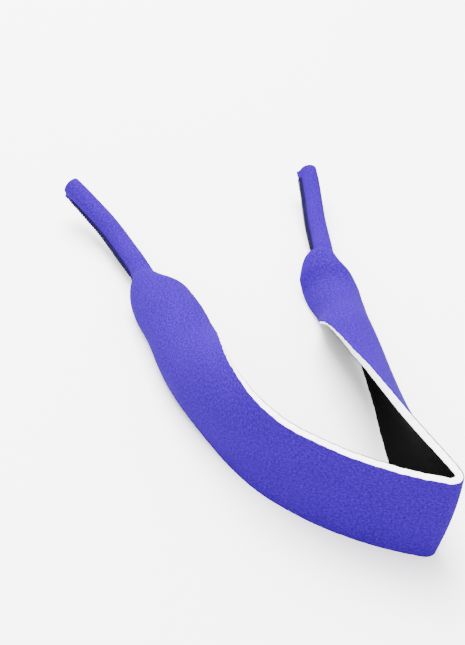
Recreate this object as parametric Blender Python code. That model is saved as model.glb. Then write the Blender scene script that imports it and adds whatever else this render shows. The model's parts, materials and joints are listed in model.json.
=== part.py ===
"""Eyeglass retainer strap, as separate solids.

A strip of laminate is die-cut from one sheet: knit jersey outside, foam in the middle, knit lining inside.
Its two narrow end tabs are rolled, lining inwards, into sleeves that slip over the temples of a pair of
glasses, and an overlock seam of three threads closes each sleeve. The strip rests on its lower edge, with
its outer face outwards, and is folded at the back of the loop.

Everything is worked out from one line along the middle of the outer face. It starts at the mouth of the
left sleeve, runs down the front of the loop, turns at the fold, and ends at the mouth of the right sleeve.
Sizes are in millimetres and become metres when an object is made.
"""
import bpy
import bmesh
import numpy as np

MM = 0.001

# Driving sizes
SLEEVE_LENGTH = 70.0
BAND_LENGTH = 343.0
BAND_WIDTH = 35.0
BAND_THICKNESS = 3.2
SLEEVE_RADIUS = 4.75       # outside
SLEEVE_THICKNESS = 1.1     # the foam is crushed thin where the tab is rolled
CLOSED = 173.5             # degrees from the middle of a sleeve's section to either edge of its seam
SHOULDER = 9.0             # the tab widens to the band over this length
THINNING = 12.0            # and reaches its full thickness over this one
FABRIC = 0.2               # thickness of the jersey and of the lining
BOND = 0.15                # clearance between two layers
FABRIC_INSET = 0.25        # the foam's cut edge stands proud of both fabrics
FOLD_AT = 254.0
FOLD_TURN = 112.0          # degrees
FOLD_LENGTH = 12.0
THREAD = 0.36              # diameter
STITCH = 3.0
THREAD_GAP = 0.35          # clearance between a looper thread and the sleeve
SEAM_REACH = 28.0          # degrees round the sleeve, each way from the seam
SEAM_SPLIT = 4.0           # degrees that each looper thread stops short of the seam's middle
SEAM_START = 5.0           # bare laminate between the mouth and the seam
SEAM_LENGTH = 56.0
NECK_GAP = 3.0             # room for a sleeve to nod without its edges meeting
FOLD_GAP = 3.0             # room for the fold to close up
MEASURE_STEP = 0.5         # of the measured line
COURSE = 24.0              # a section stands square to the strip's course over this length

LENGTH = 2 * SLEEVE_LENGTH + BAND_LENGTH
RIGHT_NECK = LENGTH - SLEEVE_LENGTH
TAB_HALF_WIDTH = np.radians(CLOSED) * (SLEEVE_RADIUS - SLEEVE_THICKNESS / 2)

# How the strip lies, by distance along it:
# heading in degrees from +X, without the fold's own turn; lean of the section, in degrees, 0 upright and
# 90 with the outer face up; the degrees that the section bends through from its middle to its lower edge and
# to its upper edge; lift of its lowest point above the surface it rests on.
DISTANCE, HEADING, LEAN, LOWER_WRAP, UPPER_WRAP, LIFT = range(6)
LINE = [
    (0, -35, 110, CLOSED, CLOSED, 12.5),
    (24, -43, 129, CLOSED, CLOSED, 7.5),
    (48, -58, 138, CLOSED, CLOSED, 4.5),
    (60, -67, 124, CLOSED, CLOSED, 4.7),
    (70, -79, 92, CLOSED, CLOSED, 4.5),
    (75, -82, 82, 157, 132, 2.7),
    (81, -78, 67, 110, 93, 0.3),
    (90, -73, 56, 90, 87, 0),
    (100, -68, 49, 88, 86, 0),
    (120, -70, 40, 78, 78, 0),
    (155, -53, 12, 38, 38, 0),
    (195, -31, 0, 0, 0, 0),
    (206, -25, 0, 0, 0, 0),
    (237, -8, 0, 0, 0, 0),
    (248, -3, 0, 0, 0, 0),
    (260, -2, 0, 12, 12, 0),
    (289, -9, 9, 38, 38, 0),
    (324, -9, 27, 62, 62, 0.1),
    (359, -4, 54, 97, 88, 0.3),
    (378, -2, 78, 88, 122, 0.3),
    (390, -9, 91, 106, 88, 0.7),
    (398, -11, 77, 109, 100, 1),
    (405, -20, 53, 129, 159, 0.9),
    (413, -25, 66, CLOSED, CLOSED, 2.7),
    (424, -20, 44, CLOSED, CLOSED, 2.2),
    (436, -15, 28, CLOSED, CLOSED, 2.2),
    (459, -14, 15, CLOSED, CLOSED, 4.9),
    (483, -6, 20, CLOSED, CLOSED, 11.2),
]


def smooth_curve(values, distance):
    """Value at one or more distances, on a smooth curve through one value for each row of LINE."""
    known = np.array([row[DISTANCE] for row in LINE], float)
    values = np.array(values, float)
    slopes = np.gradient(values, known)
    i = np.clip(np.searchsorted(known, distance) - 1, 0, len(known) - 2)
    span = known[i + 1] - known[i]
    t = (distance - known[i]) / span
    start = values[i] * (1 + 2 * t) + slopes[i] * span * t
    end = values[i + 1] * (3 - 2 * t) - slopes[i + 1] * span * (1 - t)
    return start * (1 - t) ** 2 + end * t ** 2


def along(column, distance):
    """A column of LINE at one or more distances."""
    return smooth_curve([row[column] for row in LINE], distance)


def ease(x):
    """0 to 1, level at both ends."""
    x = np.clip(x, 0, 1)
    return x * x * (3 - 2 * x)


def from_neck(distance):
    """How far into the band a distance is, from the nearer sleeve."""
    return np.minimum(distance - SLEEVE_LENGTH, RIGHT_NECK - distance)


def thickness(distance):
    growth = ease(from_neck(distance) / THINNING)
    return SLEEVE_THICKNESS + (BAND_THICKNESS - SLEEVE_THICKNESS) * growth


def half_width(distance):
    """Half the cut width of the strip: a narrow tab, a round shoulder, then the band."""
    left = 1 - np.clip(from_neck(distance) / SHOULDER, 0, 1)
    return TAB_HALF_WIDTH + (BAND_WIDTH / 2 - TAB_HALF_WIDTH) * np.sqrt(1 - left ** 2)


def half_angle(distance, share):
    """Angle that the section bends through from its middle to one edge. None is quite flat."""
    flattest = 0.05
    column = UPPER_WRAP if share > 0 else LOWER_WRAP
    return np.radians(np.clip(along(column, distance), flattest, CLOSED))


def outer_radius(distance, share):
    """Radius of the section's outer face towards one edge, with the cut width kept at mid thickness."""
    return half_width(distance) / half_angle(distance, share) + thickness(distance) / 2


def across_and_in(distance, share, depth):
    """Where a point of the section is from the middle of its outer face: towards the upper edge, and inwards.
    Share runs from -1 at the lower edge to 1 at the upper."""
    radius = outer_radius(distance, share)
    angle = share * half_angle(distance, share)
    return (radius - depth) * np.sin(angle), radius - (radius - depth) * np.cos(angle)


def heading(distance):
    turned = np.clip((distance - FOLD_AT) / FOLD_LENGTH + 0.5, 0, 1)
    fold = FOLD_TURN * (turned + ease(turned)) / 2
    return np.radians(along(HEADING, distance) + fold)


def lowest_of_section(distance):
    """How far the section's lowest point is below the middle of its outer face, as a negative height."""
    lean = np.radians(along(LEAN, distance))
    lowest = 0.0
    for share in np.linspace(-1, 1, 15):
        for depth in (0, thickness(distance)):
            sideways, inwards = across_and_in(distance, share, depth)
            lowest = min(lowest, np.cos(lean) * sideways - np.sin(lean) * inwards)
    return lowest


def height_of_middle(distance):
    """Height of the middle of the outer face, on a smooth curve through the lifts of LINE's rows."""
    heights = [row[LIFT] - lowest_of_section(float(row[DISTANCE])) for row in LINE]
    return smooth_curve(heights, distance)


def measure_line():
    """Distances with, at each, the middle point of the outer face, the direction across to the upper edge
    and the outward normal. The strip never stretches, so each step goes as far as its length allows."""
    distance = np.arange(0, LENGTH + MEASURE_STEP / 2, MEASURE_STEP)
    turn = heading(distance)
    height = height_of_middle(distance)
    rise = np.diff(height)
    forward = np.sqrt(MEASURE_STEP ** 2 - rise ** 2)
    middle_turn = (turn[1:] + turn[:-1]) / 2
    x = np.concatenate([[0], np.cumsum(forward * np.cos(middle_turn))])
    y = np.concatenate([[0], np.cumsum(forward * np.sin(middle_turn))])
    ahead = np.minimum(distance + COURSE / 2, LENGTH)
    behind = np.maximum(distance - COURSE / 2, 0)
    climb = np.interp(ahead, distance, height) - np.interp(behind, distance, height)
    pitch = np.arcsin(climb / (ahead - behind))
    level = np.zeros_like(turn)
    tangent = np.stack([np.cos(pitch) * np.cos(turn), np.cos(pitch) * np.sin(turn), np.sin(pitch)], -1)
    inward = np.stack([-np.sin(turn), np.cos(turn), level], -1)
    upward = np.cross(tangent, inward)
    lean = np.radians(along(LEAN, distance))[:, None]
    across = np.cos(lean) * upward + np.sin(lean) * inward
    outward = np.sin(lean) * upward - np.cos(lean) * inward
    return distance, np.stack([x, y, height], -1), across, outward


MEASURED = measure_line()


def read_line(distance):
    """Middle point, across and outward directions at one distance."""
    known, *vectors = MEASURED
    return [np.array([np.interp(distance, known, column) for column in v.T]) for v in vectors]


def place(distance, share, depth):
    """Point of the strip, at a depth below its outer face."""
    point, across, outward = read_line(distance)
    sideways, inwards = across_and_in(distance, share, depth)
    return point + across * sideways - outward * inwards


def face_points(distances, steps, inset, depth):
    """Rows of points over one face of a layer, a row to a distance. Depth is a function of distance."""
    rows = []
    for distance in distances:
        edge = 1 - inset / half_width(distance)
        shares = np.clip(np.linspace(-1, 1, steps + 1), -edge, edge)
        rows.append([place(distance, share, depth(distance)) for share in shares])
    return rows


# Layers, from the outside in: depth of the outer face, depth of the inner face, inset of the edges
LAYERS = {
    "jersey": (lambda distance: 0.0, lambda distance: FABRIC, FABRIC_INSET),
    "foam": (lambda distance: FABRIC + BOND, lambda distance: thickness(distance) - FABRIC - BOND, 0.0),
    "lining": (lambda distance: thickness(distance) - FABRIC, thickness, FABRIC_INSET),
}


def spread(start, end, spacing):
    """Distances from start to end, evenly apart by about the spacing."""
    return np.linspace(start, end, max(2, round((end - start) / spacing) + 1))


def runs(*pieces):
    """Several spreads joined end to end."""
    return np.unique(np.concatenate([spread(*piece) for piece in pieces]))


NECK_HALF = NECK_GAP / 2
FOLD_HALF = FOLD_GAP / 2
NECK_ZONE = 16.0
FOLD_ZONE = 8.0
LEFT_SHOULDER_END = SLEEVE_LENGTH + NECK_ZONE
RIGHT_SHOULDER_END = RIGHT_NECK - NECK_ZONE

# Each rigid stretch of the laminate: its distances and the number of facets across
STRETCHES = {
    "left_sleeve": (spread(0, SLEEVE_LENGTH - NECK_HALF, 6.5), 14),
    "left_band": (runs((SLEEVE_LENGTH + NECK_HALF, LEFT_SHOULDER_END, 2.0),
                       (LEFT_SHOULDER_END, FOLD_AT - FOLD_ZONE, 7.0),
                       (FOLD_AT - FOLD_ZONE, FOLD_AT - FOLD_HALF, 1.8)), 8),
    "right_band": (runs((FOLD_AT + FOLD_HALF, FOLD_AT + FOLD_ZONE, 1.8),
                        (FOLD_AT + FOLD_ZONE, RIGHT_SHOULDER_END, 7.0),
                        (RIGHT_SHOULDER_END, RIGHT_NECK - NECK_HALF, 2.0)), 8),
    "right_sleeve": (spread(RIGHT_NECK + NECK_HALF, LENGTH, 6.5), 14),
}


def material(name, colour, roughness):
    made = bpy.data.materials.new(name)
    made.use_nodes = True
    shader = made.node_tree.nodes["Principled BSDF"]
    shader.inputs["Base Color"].default_value = (*colour, 1)
    shader.inputs["Roughness"].default_value = roughness
    shader.inputs["Metallic"].default_value = 0.0
    return made


def add_object(name, data, body, surface):
    """Put a mesh or curve in the parts collection, on its body's joint."""
    made = bpy.data.objects.new(name, data)
    made.parent = body
    data.materials.append(surface)
    bpy.data.collections[PARTS].objects.link(made)
    return made


def local(points, body):
    """Points in the body's own frame, in metres."""
    return [tuple(np.array(point) * MM - np.array(body.location)) for point in points]


def skin(built, rows):
    """Triangles over a grid of vertices, every cell cut along the same diagonal."""
    for row, following in zip(rows, rows[1:]):
        for k in range(len(row) - 1):
            built.faces.new([row[k], following[k], following[k + 1]])
            built.faces.new([row[k], following[k + 1], row[k + 1]])


def add_layer(name, layer, distances, facets, body, surface):
    """A layer of laminate, lofted through its sections: they change from a rolled tube to a flat band."""
    outer_depth, inner_depth, inset = LAYERS[layer]
    built = bmesh.new()
    sides = []
    for depth in (outer_depth, inner_depth):
        rows = face_points(distances, facets, inset, depth)
        sides.append([[built.verts.new(point) for point in local(row, body)] for row in rows])
        skin(built, sides[-1])
    outer, inner = sides
    borders = [(outer[0], inner[0]), (outer[-1], inner[-1])]
    borders += [([row[k] for row in outer], [row[k] for row in inner]) for k in (0, -1)]
    for border in borders:
        skin(built, border)
    bmesh.ops.recalc_face_normals(built, faces=built.faces)
    mesh = bpy.data.meshes.new(name)
    built.to_mesh(mesh)
    built.free()
    add_object(name, mesh, body, surface)


def add_thread(name, points, body, surface):
    """A thread is a thin tube along its path."""
    curve = bpy.data.curves.new(name, "CURVE")
    curve.dimensions = "3D"
    curve.bevel_depth = THREAD / 2 * MM
    curve.bevel_resolution = 0
    curve.use_fill_caps = True
    spline = curve.splines.new("POLY")
    spline.points.add(len(points) - 1)
    for slot, point in zip(spline.points, local(points, body)):
        slot.co = (*point, 1)
    add_object(name, curve, body, surface)


def stitches(start, end):
    """Distances of the crossings of a seam, two to a stitch."""
    return spread(start, end, STITCH / 2)


def round_sleeve(distance, angle, depth):
    """Point at an angle from the seam, in degrees, below the sleeve's outside."""
    return place(distance, (180 + angle) / CLOSED, depth)


def looper_path(start, end, side):
    """Zigzags over one edge of the seam, on the outside of the sleeve. Side is -1 or 1."""
    height = THREAD / 2 + THREAD_GAP
    path = []
    for number, distance in enumerate(stitches(start, end)):
        angles = [SEAM_SPLIT, SEAM_REACH] if number % 2 else [SEAM_REACH, SEAM_SPLIT]
        path += [round_sleeve(distance, side * angle, -height) for angle in angles]
    return path


def upper_looper_path(start, end):
    return looper_path(start, end, -1)


def lower_looper_path(start, end):
    return looper_path(start, end, 1)


def needle_path(start, end):
    """Weaves in and out through the slot between the tab's two edges, below both loopers."""
    depths = [THREAD / 2, SLEEVE_THICKNESS - THREAD / 2]
    path = []
    for distance in stitches(start, end):
        path += [round_sleeve(distance, 0, depth) for depth in depths]
        depths.reverse()
    return path


THREAD_PATHS = {
    "needle_thread": needle_path,
    "upper_looper_thread": upper_looper_path,
    "lower_looper_thread": lower_looper_path,
}

SEAMS = {
    "left": ("left_sleeve", SEAM_START, SEAM_START + SEAM_LENGTH),
    "right": ("right_sleeve", LENGTH - SEAM_START - SEAM_LENGTH, LENGTH - SEAM_START),
}


def sleeve_centre(distance):
    """Centre of the bore."""
    return place(distance, 0, SLEEVE_RADIUS)


def joint_points():
    """A point on each moving body's joint axis. The band's left half is the fixed body."""
    return {
        "left_band": np.zeros(3),
        "right_band": place(FOLD_AT, 0, 0),
        "left_sleeve": sleeve_centre(SLEEVE_LENGTH),
        "right_sleeve": sleeve_centre(RIGHT_NECK),
    }


def centre_the_strip():
    """Shift the measured line to put the bottom middle of the laminate's bounding box on the origin."""
    corners = []
    for distances, facets in STRETCHES.values():
        for outer_depth, inner_depth, inset in LAYERS.values():
            for depth in (outer_depth, inner_depth):
                for row in face_points(distances, facets, inset, depth):
                    corners += row
    low = np.min(corners, axis=0)
    high = np.max(corners, axis=0)
    MEASURED[1][:] -= [(low[0] + high[0]) / 2, (low[1] + high[1]) / 2, low[2]]


PARTS = "eyeglass_retainer_strap"


def main():
    for old in list(bpy.data.objects):
        bpy.data.objects.remove(old)
    bpy.context.scene.collection.children.link(bpy.data.collections.new(PARTS))
    centre_the_strip()
    surfaces = {
        "jersey": material("jersey", (0.145, 0.092, 0.70), 0.85),
        "foam": material("foam", (0.86, 0.86, 0.83), 0.7),
        "lining": material("lining", (0.008, 0.008, 0.009), 0.9),
        "thread": material("thread", (0.012, 0.010, 0.05), 0.6),
    }
    bodies = {}
    for name, point in joint_points().items():
        bodies[name] = bpy.data.objects.new(name + "_joint", None)
        bodies[name].location = point * MM
        bpy.data.collections[PARTS].objects.link(bodies[name])
    for name, (distances, facets) in STRETCHES.items():
        for layer in LAYERS:
            add_layer(name + "_" + layer, layer, distances, facets, bodies[name], surfaces[layer])
    for side, (sleeve, start, end) in SEAMS.items():
        for thread, path in THREAD_PATHS.items():
            add_thread(side + "_" + thread, path(start, end), bodies[sleeve], surfaces["thread"])


main()
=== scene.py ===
"""Eyeglass retainer strap, finished: knit jersey, cut foam, knit lining and overlocked sleeves.

The strip is worked out again from the same line as its CAD model, in millimetres. Every layer is built as
three fine skins, each across one joint.
"""

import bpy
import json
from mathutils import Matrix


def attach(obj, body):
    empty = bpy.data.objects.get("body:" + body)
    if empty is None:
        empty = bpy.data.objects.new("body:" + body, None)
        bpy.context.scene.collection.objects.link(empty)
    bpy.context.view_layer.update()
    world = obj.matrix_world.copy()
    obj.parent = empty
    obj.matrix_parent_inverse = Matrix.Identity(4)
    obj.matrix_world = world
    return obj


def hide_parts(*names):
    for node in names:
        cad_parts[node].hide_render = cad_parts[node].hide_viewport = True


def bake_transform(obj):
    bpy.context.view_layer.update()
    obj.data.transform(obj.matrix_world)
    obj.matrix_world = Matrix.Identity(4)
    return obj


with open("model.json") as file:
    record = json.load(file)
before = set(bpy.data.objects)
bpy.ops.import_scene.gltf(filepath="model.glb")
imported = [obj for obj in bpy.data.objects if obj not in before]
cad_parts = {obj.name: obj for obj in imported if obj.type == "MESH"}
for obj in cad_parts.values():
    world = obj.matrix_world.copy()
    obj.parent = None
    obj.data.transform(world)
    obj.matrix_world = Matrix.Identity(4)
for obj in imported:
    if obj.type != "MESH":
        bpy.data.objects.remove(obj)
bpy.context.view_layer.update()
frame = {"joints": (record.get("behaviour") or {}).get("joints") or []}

import json

import bpy
import numpy as np
from mathutils import Matrix, Vector, noise

MM = 0.001

# The strip, as in the CAD model
SLEEVE_LENGTH = 70.0
BAND_LENGTH = 343.0
BAND_WIDTH = 35.0
BAND_THICKNESS = 3.2
SLEEVE_RADIUS = 4.75
SLEEVE_THICKNESS = 1.1
CLOSED = 173.5
SHOULDER = 9.0
THINNING = 12.0
FOLD_AT = 254.0
FOLD_TURN = 112.0
FOLD_LENGTH = 12.0
FLATTEST = 0.05            # degrees that even a flat section bends through, from middle to edge
SEAM_START = 5.0
SEAM_LENGTH = 56.0
MEASURE_STEP = 0.5
COURSE = 24.0              # a section stands square to the strip's course over this length
LOWEST_SAMPLES = 15        # across a section, to find its lowest point

LENGTH = 2 * SLEEVE_LENGTH + BAND_LENGTH
RIGHT_NECK = LENGTH - SLEEVE_LENGTH
TAB_HALF_WIDTH = np.radians(CLOSED) * (SLEEVE_RADIUS - SLEEVE_THICKNESS / 2)

# The finish
SHOULDER_START = 2.0       # the tab begins to widen this far inside the sleeve
FABRIC = 0.4               # thickness of each knit on the band
SLEEVE_FABRIC = 0.3        # and where the tab is rolled
OVERLAP = 0.06             # how far the foam reaches into a knit
CROWN = 0.12               # how far the cut foam swells past its edge
KNIT_CROWN = 0.04          # and how far a knit does
ROUGH_CUT = 0.2            # how far the cut edge wanders
WANDER_LENGTHS = (3.1, 1.3, 0.61)
PORE = 0.08                # depth of the foam's grain
PORE_SPACING = 0.7
GRAIN_SEED = 1             # without a seed, noise vectors differ from run to run
FINE = 0.5                 # spacing of sections in foam and over the fold
COARSE = 0.8               # and in the other knits
SECTION_SAMPLES = 121      # from a section's middle to one edge
FACE_STEPS = {"foam": 30, "jersey": 56, "lining": 56}
SHARP = np.radians(50)     # edges sharper than this aren't shaded smooth
TUBE_RADIUS = 3.7          # of the rolled tab at mid thickness, where its edges turn out into a seam
RIDGE_FOOT = np.radians(150) * TUBE_RADIUS
FLARE_RADIUS = 2.5
FLARE = np.radians(60) * FLARE_RADIUS
RIDGE_FADE = 6.0           # the ridge sinks back into the tube over this length
PITCH = 1.62               # from stitch to stitch
NEEDLE_LINE = 1.9          # from the cut edge
PLY = 0.14                 # radius of one of a thread's two plies
PLY_SIDES = 6
TWIST = 1.7                # length of one turn of the plies
STEPS_A_TURN = 10
TAIL = 4.0                 # loose end of a looper thread

# Routes of threads. Share of a stitch or tail, width past the cut edge, and depth below the outer face
OVER_THE_SEAM = [
    (0.0, -NEEDLE_LINE, -0.1),
    (0.2, -0.8, -0.22),
    (0.38, 0.15, 0.1),
    (0.5, 0.32, SLEEVE_THICKNESS * 0.8),
    (0.62, 0.15, 0.1),
    (0.8, -0.8, -0.22),
]
LOOSE_END = [(0.2, -0.6, -0.3), (0.5, 0.5, -0.5), (0.75, 1.1, -0.8), (1.0, 1.2, -1.4)]
NEEDLE_STITCH = [(on, -NEEDLE_LINE, -0.12) for on in (0.08, 0.5, 0.92)]
NEEDLE_LOCK = [(on, -NEEDLE_LINE, -0.1) for on in (0.92, 1.08)]

# Colours, linear
JERSEY_HEATHER = ((0.0105, 0.0, 0.092), (0.019, 0.0, 0.15), (0.031, 0.0005, 0.235))
LINING_HEATHER = ((0.0012, 0.0012, 0.0013), (0.002, 0.002, 0.0022), (0.004, 0.004, 0.0045))
WHITE_FOAM = (0.93, 0.93, 0.93)
CREAM_FOAM = (0.9, 0.82, 0.62)
THREAD_DARK = (0.001, 0.001, 0.004)
THREAD_LIGHT = (0.004, 0.003, 0.014)
FLOOR_GREY = (0.9, 0.9, 0.9)

# Distance, heading, lean, lower wrap, upper wrap and lift, as in the CAD model
DISTANCE, HEADING, LEAN, LOWER_WRAP, UPPER_WRAP, LIFT = range(6)
LINE = [
    (0, -35, 110, CLOSED, CLOSED, 12.5),
    (24, -43, 129, CLOSED, CLOSED, 7.5),
    (48, -58, 138, CLOSED, CLOSED, 4.5),
    (60, -67, 124, CLOSED, CLOSED, 4.7),
    (70, -79, 92, CLOSED, CLOSED, 4.5),
    (75, -82, 82, 157, 132, 2.7),
    (81, -78, 67, 110, 93, 0.3),
    (90, -73, 56, 90, 87, 0),
    (100, -68, 49, 88, 86, 0),
    (120, -70, 40, 78, 78, 0),
    (155, -53, 12, 38, 38, 0),
    (195, -31, 0, 0, 0, 0),
    (206, -25, 0, 0, 0, 0),
    (237, -8, 0, 0, 0, 0),
    (248, -3, 0, 0, 0, 0),
    (260, -2, 0, 12, 12, 0),
    (289, -9, 9, 38, 38, 0),
    (324, -9, 27, 62, 62, 0.1),
    (359, -4, 54, 97, 88, 0.3),
    (378, -2, 78, 88, 122, 0.3),
    (390, -9, 91, 106, 88, 0.7),
    (398, -11, 77, 109, 100, 1),
    (405, -20, 53, 129, 159, 0.9),
    (413, -25, 66, CLOSED, CLOSED, 2.7),
    (424, -20, 44, CLOSED, CLOSED, 2.2),
    (436, -15, 28, CLOSED, CLOSED, 2.2),
    (459, -14, 15, CLOSED, CLOSED, 4.9),
    (483, -6, 20, CLOSED, CLOSED, 11.2),
]


# ---------------------------------------------------------------------------------------------------
# The line and its sections

def smooth_curve(known, values, wanted):
    """Values at wanted places, on a smooth curve through the known ones."""
    known = np.array(known, float)
    values = np.array(values, float)
    slopes = np.gradient(values, known)
    i = np.clip(np.searchsorted(known, wanted) - 1, 0, len(known) - 2)
    span = known[i + 1] - known[i]
    t = (wanted - known[i]) / span
    start = values[i] * (1 + 2 * t) + slopes[i] * span * t
    end = values[i + 1] * (3 - 2 * t) - slopes[i + 1] * span * (1 - t)
    return start * (1 - t) ** 2 + end * t ** 2


def along(column, distance):
    """A column of LINE at one or more distances."""
    return smooth_curve([row[DISTANCE] for row in LINE], [row[column] for row in LINE], distance)


def ease(x):
    """0 to 1, level at both ends."""
    x = np.clip(x, 0, 1)
    return x * x * (3 - 2 * x)


def from_neck(distance):
    """How far into the band a distance is, from the nearer sleeve."""
    return np.minimum(distance - SLEEVE_LENGTH, RIGHT_NECK - distance)


def thickness(distance):
    growth = ease(from_neck(distance) / THINNING)
    return SLEEVE_THICKNESS + (BAND_THICKNESS - SLEEVE_THICKNESS) * growth


def fabric_thickness(distance):
    return SLEEVE_FABRIC + (FABRIC - SLEEVE_FABRIC) * ease(from_neck(distance) / THINNING)


def half_width(distance):
    """Half the cut width of the strip. The shoulder starts a little inside the sleeve."""
    widened = ease((from_neck(distance) + SHOULDER_START) / (SHOULDER + SHOULDER_START / 2))
    return TAB_HALF_WIDTH + (BAND_WIDTH / 2 - TAB_HALF_WIDTH) * widened


def half_angle(distance, side):
    """Angle that the section bends through from its middle to one edge. Side is -1 or 1."""
    column = UPPER_WRAP if side > 0 else LOWER_WRAP
    return np.radians(np.clip(along(column, distance), FLATTEST, CLOSED))


def heading(distance):
    turned = np.clip((distance - FOLD_AT) / FOLD_LENGTH + 0.5, 0, 1)
    fold = FOLD_TURN * (turned + ease(turned)) / 2
    return np.radians(along(HEADING, distance) + fold)


def lowest_of_section(distance):
    """Height of the plain section's lowest point over the middle of its outer face, which is negative."""
    lean = np.radians(along(LEAN, distance))
    lowest = 0.0
    for share in np.linspace(-1, 1, LOWEST_SAMPLES):
        bent = half_angle(distance, share)
        radius = half_width(distance) / bent + thickness(distance) / 2
        for depth in (0, thickness(distance)):
            sideways = (radius - depth) * np.sin(share * bent)
            inwards = radius - (radius - depth) * np.cos(share * bent)
            lowest = min(lowest, np.cos(lean) * sideways - np.sin(lean) * inwards)
    return lowest


def measure_line():
    """Distances with, at each, the middle of the outer face, the direction across to the upper edge and the
    outward normal."""
    distance = np.arange(0, LENGTH + MEASURE_STEP / 2, MEASURE_STEP)
    turn = heading(distance)
    heights = [row[LIFT] - lowest_of_section(float(row[DISTANCE])) for row in LINE]
    height = smooth_curve([row[DISTANCE] for row in LINE], heights, distance)
    forward = np.sqrt(MEASURE_STEP ** 2 - np.diff(height) ** 2)
    middle_turn = (turn[1:] + turn[:-1]) / 2
    x = np.concatenate([[0], np.cumsum(forward * np.cos(middle_turn))])
    y = np.concatenate([[0], np.cumsum(forward * np.sin(middle_turn))])
    ahead = np.minimum(distance + COURSE / 2, LENGTH)
    behind = np.maximum(distance - COURSE / 2, 0)
    climb = np.interp(ahead, distance, height) - np.interp(behind, distance, height)
    pitch = np.arcsin(climb / (ahead - behind))
    level = np.zeros_like(turn)
    tangent = np.stack([np.cos(pitch) * np.cos(turn), np.cos(pitch) * np.sin(turn), np.sin(pitch)], -1)
    inward = np.stack([-np.sin(turn), np.cos(turn), level], -1)
    upward = np.cross(tangent, inward)
    lean = np.radians(along(LEAN, distance))[:, None]
    across = np.cos(lean) * upward + np.sin(lean) * inward
    outward = np.sin(lean) * upward - np.cos(lean) * inward
    return distance, np.stack([x, y, height], -1), across, outward


MEASURED = measure_line()


def read_line(distance):
    """Middle point, across and outward directions at one distance."""
    known, *vectors = MEASURED
    return [np.array([np.interp(distance, known, column) for column in v.T]) for v in vectors]


def put_line_on_frame():
    """The back fold's joint lies on the middle of the outer face."""
    joint = next(j for j in frame["joints"] if j["name"] == "back_fold")
    MEASURED[1][:] += np.array(joint["pos_m"]) / MM - read_line(FOLD_AT)[0]


def seam_share(distance):
    """1 where the tab's edges stand up in a seam, 0 where the strip is plain."""
    inside = max(SLEEVE_LENGTH - distance, distance - RIGHT_NECK)
    bare = SLEEVE_LENGTH - SEAM_START - SEAM_LENGTH
    return ease((inside - bare + RIDGE_FADE) / RIDGE_FADE)


def running_sum(values, step):
    return np.concatenate([[0], np.cumsum((values[1:] + values[:-1]) / 2)]) * step


def half_section(distance, side):
    """The strip's mid surface from its middle to one edge: place, turn, and how far sideways and inwards."""
    reach = half_width(distance)
    place = np.linspace(0, reach, SECTION_SAMPLES)
    plain = np.full_like(place, half_angle(distance, side) / reach)
    ridge = np.where(place < RIDGE_FOOT, 1 / TUBE_RADIUS, -1 / FLARE_RADIUS)
    ridge[place > RIDGE_FOOT + FLARE] = 0
    share = seam_share(distance)
    turn = running_sum(share * ridge + (1 - share) * plain, place[1])
    return place, turn, running_sum(np.cos(turn), place[1]), running_sum(np.sin(turn), place[1])


def section_points(distance, widths, depths):
    """Points of the strip: width from its middle, negative towards the lower edge, and depth below the outer
    face. A width beyond the edge goes straight on."""
    point, across, outward = read_line(distance)
    widths = np.array(widths, float)
    above_middle = thickness(distance) / 2 - np.array(depths, float)
    x = np.empty_like(widths)
    y = np.empty_like(widths)
    for side in (-1, 1):
        chosen = widths < 0 if side < 0 else widths >= 0
        place, turn, sideways, inwards = half_section(distance, side)
        width = np.abs(widths[chosen])
        beyond = np.maximum(width - place[-1], 0)
        turned = np.interp(width, place, turn)
        level = above_middle[chosen]
        ahead = np.interp(width, place, sideways) + beyond * np.cos(turned)
        x[chosen] = side * (ahead + level * np.sin(turned))
        y[chosen] = np.interp(width, place, inwards) + beyond * np.sin(turned) - level * np.cos(turned)
    y += thickness(distance) / 2
    return point + x[:, None] * across - y[:, None] * outward


def strip_point(distance, width, depth):
    return section_points(distance, [width], [depth])[0]


# ---------------------------------------------------------------------------------------------------
# Meshes

def mesh_object(name, points, faces, surface):
    """Points are in millimetres."""
    mesh = bpy.data.meshes.new(name)
    mesh.from_pydata([tuple(point) for point in np.array(points) * MM], [], faces)
    mesh.shade_smooth()
    mesh.set_sharp_from_angle(angle=SHARP)
    mesh.materials.append(surface)
    made = bpy.data.objects.new(name, mesh)
    bpy.context.collection.objects.link(made)
    return made


def strip_map(made, places):
    """UV map in millimetres: distance along the strip, and width across it."""
    layer = made.data.uv_layers.new(name="strip")
    corners = np.empty(len(made.data.loops), int)
    made.data.loops.foreach_get("vertex_index", corners)
    layer.data.foreach_set("uv", np.array(places, float)[corners].ravel())


def spread(start, end, spacing):
    """Distances from start to end, evenly apart by about the spacing."""
    return np.linspace(start, end, max(2, round((end - start) / spacing) + 1))


def wander(distance, phase):
    """An even, unhurried wobble between about -1 and 1, as a blade leaves along a cut."""
    waves = [np.sin(distance / length + phase * k) for k, length in enumerate(WANDER_LENGTHS, 1)]
    return sum(waves) / len(waves)


def layer_depths(distance, layer):
    """Depths of a layer's outer and inner face. The foam reaches a little into both knits."""
    full = thickness(distance)
    knit_depth = fabric_thickness(distance)
    if layer == "foam":
        return knit_depth - OVERLAP, full - knit_depth + OVERLAP
    if layer == "jersey":
        return 0.0, knit_depth
    return full - knit_depth, full


def cut_edge(distance, side):
    """Width from the middle to the cut edge, negative on the lower side. Each side wanders by itself."""
    lower_phase, upper_phase = 2, 4
    phase = upper_phase if side > 0 else lower_phase
    return side * (half_width(distance) + ROUGH_CUT * wander(distance, phase))


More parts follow.
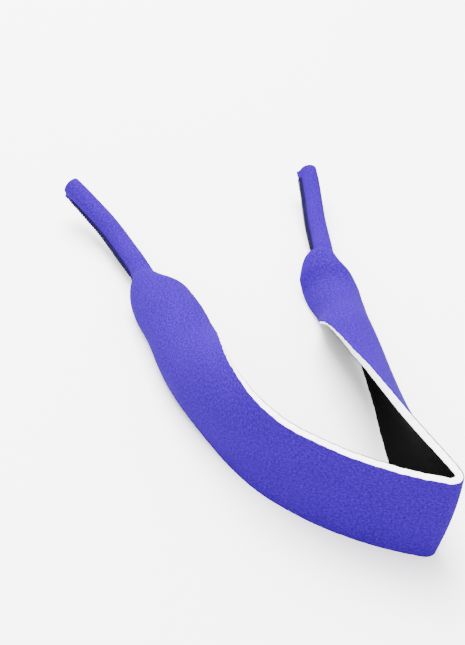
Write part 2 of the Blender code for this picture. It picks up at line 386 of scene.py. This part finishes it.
def ring(distance, layer):
    """Widths and depths once round the section of a layer: outer face, upper edge, inner face, lower edge."""
    outer, inner = layer_depths(distance, layer)
    steps = FACE_STEPS[layer]
    swell = CROWN if layer == "foam" else KNIT_CROWN
    edges = [cut_edge(distance, side) for side in (-1, 1)]
    face = np.interp(np.linspace(-1, 1, steps + 1), [-1, 0, 1], [edges[0], 0, edges[1]])
    round_edge = np.linspace(0, np.pi, 9)[1:-1]
    down = outer + (inner - outer) * (1 - np.cos(round_edge)) / 2
    out = swell * np.sin(round_edge)
    widths = np.concatenate([face, edges[1] + out, face[::-1], edges[0] - out[::-1]])
    depths = np.concatenate([np.full(steps + 1, outer), down, np.full(steps + 1, inner), down[::-1]])
    return widths, depths


def grain(points):
    """Points moved a little each way, as the cells of a cut foam leave them."""
    return [point + PORE * np.array(noise.noise_vector(Vector(point / PORE_SPACING))) for point in points]


def layer_piece(name, layer, distances, surface):
    """One layer over a run of the strip: a closed skin with its two ends filled."""
    points = []
    places = []
    for distance in distances:
        widths, depths = ring(distance, layer)
        row = section_points(distance, widths, depths)
        if layer == "foam":
            row = grain(row)
        points.extend(row)
        places.extend((distance, width) for width in widths)
    count = len(widths)
    steps = FACE_STEPS[layer]
    faces = []
    for row in range(len(distances) - 1):
        first = row * count
        for k in range(count):
            following = (k + 1) % count
            faces.append((first + k, first + following, first + count + following, first + count + k))
    # Each end is filled with strips from the outer to the inner face, and one face at each round edge
    opposite = count // 2 + steps
    for first, order in ((0, -1), ((len(distances) - 1) * count, 1)):
        for k in range(steps):
            inner = opposite - k
            faces.append([first + i for i in (k, k + 1, inner - 1, inner)][::order])
        for edge in (range(steps, count // 2 + 1), list(range(count // 2 + steps, count)) + [0]):
            faces.append([first + i for i in edge][::order])
    made = mesh_object(name, points, faces, surface)
    strip_map(made, places)
    return made


def plies(path):
    """Two plies twisted round a path of points. Each is an array of rings of points."""
    path = np.array(path)
    steps = np.linalg.norm(np.diff(path, axis=0), axis=1)
    travelled = np.concatenate([[0], np.cumsum(steps)])
    wanted = np.arange(0, travelled[-1], TWIST / STEPS_A_TURN)
    centre = np.stack([smooth_curve(travelled, column, wanted) for column in path.T], -1)
    tangent = np.gradient(centre, axis=0)
    tangent /= np.linalg.norm(tangent, axis=1)[:, None]
    off_the_path = [0.3, 0.5, 0.8]
    side = np.cross(tangent[0], off_the_path)
    sides = []
    for direction in tangent:
        side = side - direction * (side @ direction)
        side = side / np.linalg.norm(side)
        sides.append(side)
    sides = np.array(sides)
    others = np.cross(tangent, sides)
    round_ply = np.arange(PLY_SIDES) * np.pi / (PLY_SIDES / 2)
    for start in (0, np.pi):
        turn = (wanted * 2 * np.pi / TWIST + start)[:, None]
        middle = centre + PLY * (np.cos(turn) * sides + np.sin(turn) * others)
        rings = [middle + PLY * (np.cos(a) * sides + np.sin(a) * others) for a in round_ply]
        yield np.stack(rings, 1)


def thread_piece(name, path, surface):
    points = []
    faces = []
    for ply in plies(path):
        base = len(points)
        points.extend(ply.reshape(-1, 3))
        last = base + PLY_SIDES * (len(ply) - 1)
        for first in range(base, last, PLY_SIDES):
            after = first + PLY_SIDES
            for k in range(PLY_SIDES):
                following = (k + 1) % PLY_SIDES
                faces.append((first + k, first + following, after + following, after + k))
        faces.append([base + k for k in range(PLY_SIDES)][::-1])
        faces.append([last + k for k in range(PLY_SIDES)])
    return mesh_object(name, points, faces, surface)


# ---------------------------------------------------------------------------------------------------
# Threads of a seam. Sense is 1 where distances grow from mouth to neck, and -1 on the right sleeve

def seam_stitches(mouth, sense):
    start = mouth + sense * SEAM_START
    return start + sense * np.arange(0, SEAM_LENGTH, PITCH)


def route_points(start, sense, side, length, route):
    """Points of a route that begins at a distance and takes up a length. Side is -1 or 1."""
    return [strip_point(start + sense * length * share, side * (TAB_HALF_WIDTH + past), depth)
            for share, past, depth in route]


def looper_path(mouth, sense, side):
    """From the needle line over the crest of the seam and back, once a stitch, then a loose tail."""
    path = []
    for distance in seam_stitches(mouth, sense):
        path += route_points(distance, sense, side, PITCH, OVER_THE_SEAM)
    return path + route_points(distance + sense * PITCH, sense, side, TAIL, LOOSE_END)


def needle_path(mouth, sense):
    """Straight stitches along the upper side, each locked by a small loop through to the lower side."""
    path = []
    for distance in seam_stitches(mouth, sense):
        path += route_points(distance, sense, 1, PITCH, NEEDLE_STITCH)
        path += route_points(distance, sense, -1, PITCH, NEEDLE_LOCK)
    return path


# ---------------------------------------------------------------------------------------------------
# Surfaces

def new_material(name, roughness):
    made = bpy.data.materials.new(name)
    made.use_nodes = True
    nodes = made.node_tree.nodes
    links = made.node_tree.links
    shader = nodes["Principled BSDF"]
    shader.inputs["Roughness"].default_value = roughness
    return made, nodes, links, shader


def strip_coordinates(nodes, links, size):
    """The strip's own map, scaled so that one unit is a size in millimetres along and across."""
    source = nodes.new("ShaderNodeUVMap")
    source.uv_map = "strip"
    scaled = nodes.new("ShaderNodeMapping")
    scaled.inputs["Scale"].default_value = (1 / size[0], 1 / size[1], 1)
    links.new(source.outputs["UV"], scaled.inputs["Vector"])
    return scaled.outputs["Vector"]


def noise_texture(nodes, links, vector, detail, roughness=0.5):
    texture = nodes.new("ShaderNodeTexNoise")
    texture.inputs["Scale"].default_value = 1.0
    texture.inputs["Detail"].default_value = detail
    texture.inputs["Roughness"].default_value = roughness
    links.new(vector, texture.inputs["Vector"])
    return texture.outputs["Fac"]


def ramp(nodes, links, factor, stops):
    """Colours at positions."""
    made = nodes.new("ShaderNodeValToRGB")
    for element, (position, colour) in zip(made.color_ramp.elements, (stops[0], stops[-1])):
        element.position = position
        element.color = (*colour, 1)
    for position, colour in stops[1:-1]:
        made.color_ramp.elements.new(position).color = (*colour, 1)
    links.new(factor, made.inputs["Fac"])
    return made.outputs["Color"]


def multiply(nodes, links, first, second, share=1.0):
    made = nodes.new("ShaderNodeMix")
    made.data_type = "RGBA"
    made.blend_type = "MULTIPLY"
    made.inputs["Factor"].default_value = share
    links.new(first, made.inputs["A"])
    links.new(second, made.inputs["B"])
    return made.outputs["Result"]


def bump(nodes, links, height, distance, strength, below=None):
    made = nodes.new("ShaderNodeBump")
    made.inputs["Distance"].default_value = distance * MM
    made.inputs["Strength"].default_value = strength
    links.new(height, made.inputs["Height"])
    if below:
        links.new(below, made.inputs["Normal"])
    return made.outputs["Normal"]


def ribs(nodes, links, size, direction):
    """Fine ribs of knitting, slightly uneven."""
    texture = nodes.new("ShaderNodeTexWave")
    texture.bands_direction = direction
    texture.inputs["Scale"].default_value = 1.0
    texture.inputs["Distortion"].default_value = 1.2
    texture.inputs["Detail"].default_value = 1.0
    texture.inputs["Detail Scale"].default_value = 2.0
    links.new(strip_coordinates(nodes, links, size), texture.inputs["Vector"])
    return texture.outputs["Fac"]


def knit(name, heather_colours, roughness, relief):
    """A knit face: heathered colour, fine wales along the strip and courses across it."""
    made, nodes, links, shader = new_material(name, roughness)
    heather = noise_texture(nodes, links, strip_coordinates(nodes, links, (0.85, 0.7)), 3, 0.6)
    cloudy = noise_texture(nodes, links, strip_coordinates(nodes, links, (16, 9)), 2)
    dark, mid, light = heather_colours
    colour = ramp(nodes, links, heather, [(0.33, dark), (0.5, mid), (0.67, light)])
    shade = ramp(nodes, links, cloudy, [(0.3, (0.9, 0.9, 0.92)), (0.7, (1, 1, 1))])
    links.new(multiply(nodes, links, colour, shade), shader.inputs["Base Color"])
    wales = ribs(nodes, links, (1.1, 1.1), "Y")
    courses = ribs(nodes, links, (0.8, 0.8), "X")
    normal = bump(nodes, links, courses, 0.05, relief)
    normal = bump(nodes, links, wales, 0.08, relief, normal)
    links.new(bump(nodes, links, heather, 0.06, relief, normal), shader.inputs["Normal"])
    shader.inputs["Specular IOR Level"].default_value = 0.02
    return made


def cut_foam():
    """White closed-cell foam with the grain of its cut cells. It has yellowed on the shoulder before the
    right neck, and the tint's places are shares of the strip's length."""
    made, nodes, links, shader = new_material("foam", 0.75)
    cells = noise_texture(nodes, links, strip_coordinates(nodes, links, (0.35, 0.35)), 3, 0.6)
    course = nodes.new("ShaderNodeSeparateXYZ")
    links.new(strip_coordinates(nodes, links, (LENGTH, 1)), course.inputs["Vector"])
    tint = ramp(nodes, links, course.outputs["X"],
                [(0.0, WHITE_FOAM), (0.765, WHITE_FOAM), (0.79, CREAM_FOAM), (0.82, CREAM_FOAM),
                 (0.85, WHITE_FOAM), (1.0, WHITE_FOAM)])
    grey = ramp(nodes, links, cells, [(0.3, (0.8, 0.8, 0.8)), (0.55, (1, 1, 1))])
    links.new(multiply(nodes, links, tint, grey), shader.inputs["Base Color"])
    links.new(bump(nodes, links, cells, 0.12, 0.6), shader.inputs["Normal"])
    shader.inputs["Subsurface Weight"].default_value = 0.1
    shader.inputs["Subsurface Radius"].default_value = (0.001, 0.001, 0.001)
    shader.inputs["Specular IOR Level"].default_value = 0.2
    return made


def spun_thread():
    """Dark navy spun thread."""
    made, nodes, links, shader = new_material("thread", 0.6)
    place = nodes.new("ShaderNodeNewGeometry").outputs["Position"]
    scaled = nodes.new("ShaderNodeMapping")
    fibre_scale = 3 / MM
    scaled.inputs["Scale"].default_value = (fibre_scale, fibre_scale, fibre_scale)
    links.new(place, scaled.inputs["Vector"])
    fibres = noise_texture(nodes, links, scaled.outputs["Vector"], 2)
    colour = ramp(nodes, links, fibres, [(0.35, THREAD_DARK), (0.7, THREAD_LIGHT)])
    links.new(colour, shader.inputs["Base Color"])
    links.new(bump(nodes, links, fibres, 0.03, 0.4), shader.inputs["Normal"])
    shader.inputs["Specular IOR Level"].default_value = 0.1
    return made


# ---------------------------------------------------------------------------------------------------
# The object

# Each run of the strip crosses one joint: its two distances, the bodies on either side, the joint's distance,
# the depth of the joint below the outer face, and how far the bend reaches each way
RUNS = {
    "left": (0, 195, "left_sleeve", "left_band", SLEEVE_LENGTH, SLEEVE_RADIUS, 8.0),
    "back": (195, 338, "left_band", "right_band", FOLD_AT, 0, 5.0),
    "right": (338, LENGTH, "right_band", "right_sleeve", RIGHT_NECK, SLEEVE_RADIUS, 8.0),
}


def flat_area(start, end):
    """Flat area of a run of the strip, in square metres."""
    steps = np.arange(start, end, MEASURE_STEP)
    return float(np.sum(2 * half_width(steps) * MEASURE_STEP)) * MM * MM


def build_strip(surfaces):
    for run, (start, end, before, after, joint, joint_depth, reach) in RUNS.items():
        bend_start = Vector(strip_point(joint - reach, 0, joint_depth) * MM)
        bend_end = Vector(strip_point(joint + reach, 0, joint_depth) * MM)
        for layer in ("foam", "jersey", "lining"):
            spacing = FINE if layer == "foam" or run == "back" else COARSE
            piece = layer_piece(f"{run}_{layer}_skin", layer, spread(start, end, spacing), surfaces[layer])
            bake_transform(piece)
            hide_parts(f"{before}_{layer}", f"{after}_{layer}")
        for layer in ("jersey", "lining"):
            flat_area(start, end)


def build_seams(surface):
    for side, mouth, sense in (("left", 0.0, 1), ("right", LENGTH, -1)):
        paths = {
            "needle_thread": needle_path(mouth, sense),
            "upper_looper_thread": looper_path(mouth, sense, -1),
            "lower_looper_thread": looper_path(mouth, sense, 1),
        }
        for thread, path in paths.items():
            piece = thread_piece(f"{side}_{thread}_yarn", path, surface)
            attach(piece, side + "_sleeve")
            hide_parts(f"{side}_{thread}")


# ---------------------------------------------------------------------------------------------------
# The studio

FOLD_FROM_TARGET = (76.7, -106.7)    # where the back fold is, seen from the spot that the camera looks at
CAMERA_DISTANCE = 378.4
CAMERA_DOWN = 38.15        # degrees
CAMERA_ROLL = 7.74
CAMERA_LENS = 50.23
SENSOR_WIDTH = 36
FLOOR_REACH = 3.0          # metres
WORLD_STRENGTH = 3.0

# Name, place from the camera's target and size in metres, and power in watts
LIGHTS = [
    ("key", (-0.3, 0.5, 1.2), 1.0, 110),
    ("front", (0.2, -1.2, 0.7), 1.2, 12),
]


def camera_target():
    fold = read_line(FOLD_AT)[0]
    return Vector((fold[0] - FOLD_FROM_TARGET[0], fold[1] - FOLD_FROM_TARGET[1], 0)) * MM


def add_floor():
    mesh = bpy.data.meshes.new("floor")
    corners = [(x * FLOOR_REACH, y * FLOOR_REACH, 0) for x, y in ((-1, -1), (1, -1), (1, 1), (-1, 1))]
    mesh.from_pydata(corners, [], [(0, 1, 2, 3)])
    floor = bpy.data.objects.new("floor", mesh)
    surface, _, _, shader = new_material("floor", 0.9)
    shader.inputs["Base Color"].default_value = (*FLOOR_GREY, 1)
    mesh.materials.append(surface)
    bpy.context.collection.objects.link(floor)


def add_light(name, offset, size, power):
    """A square soft light that faces the camera's target."""
    light = bpy.data.lights.new(name, "AREA")
    light.size = size
    light.energy = power
    made = bpy.data.objects.new(name, light)
    made.location = camera_target() + Vector(offset)
    made.rotation_euler = (-Vector(offset)).to_track_quat("-Z", "Y").to_euler()
    bpy.context.collection.objects.link(made)


def add_world():
    world = bpy.data.worlds.new("studio")
    world.use_nodes = True
    background = world.node_tree.nodes["Background"]
    background.inputs["Color"].default_value = (1, 1, 1, 1)
    background.inputs["Strength"].default_value = WORLD_STRENGTH
    bpy.context.scene.world = world


def add_camera():
    down = np.radians(CAMERA_DOWN)
    roll = np.radians(CAMERA_ROLL)
    ahead = Vector((0, np.cos(down), -np.sin(down)))
    level_up = Vector((0, np.sin(down), np.cos(down)))
    right = np.cos(roll) * Vector((1, 0, 0)) + np.sin(roll) * level_up
    up = np.cos(roll) * level_up - np.sin(roll) * Vector((1, 0, 0))
    camera = bpy.data.cameras.new("camera")
    camera.lens = CAMERA_LENS
    camera.sensor_width = SENSOR_WIDTH
    made = bpy.data.objects.new("camera", camera)
    bpy.context.collection.objects.link(made)
    axes = Matrix((right, up, -ahead)).transposed().to_4x4()
    axes.translation = camera_target() - CAMERA_DISTANCE * MM * ahead
    made.matrix_world = axes
    bpy.context.scene.camera = made


noise.seed_set(GRAIN_SEED)
put_line_on_frame()
surfaces = {
    "jersey": knit("jersey", JERSEY_HEATHER, roughness=0.85, relief=0.5),
    "foam": cut_foam(),
    "lining": knit("lining", LINING_HEATHER, roughness=0.95, relief=0.6),
    "thread": spun_thread(),
}
build_strip(surfaces)
build_seams(surfaces["thread"])
add_floor()
add_world()
for light in LIGHTS:
    add_light(*light)
add_camera()
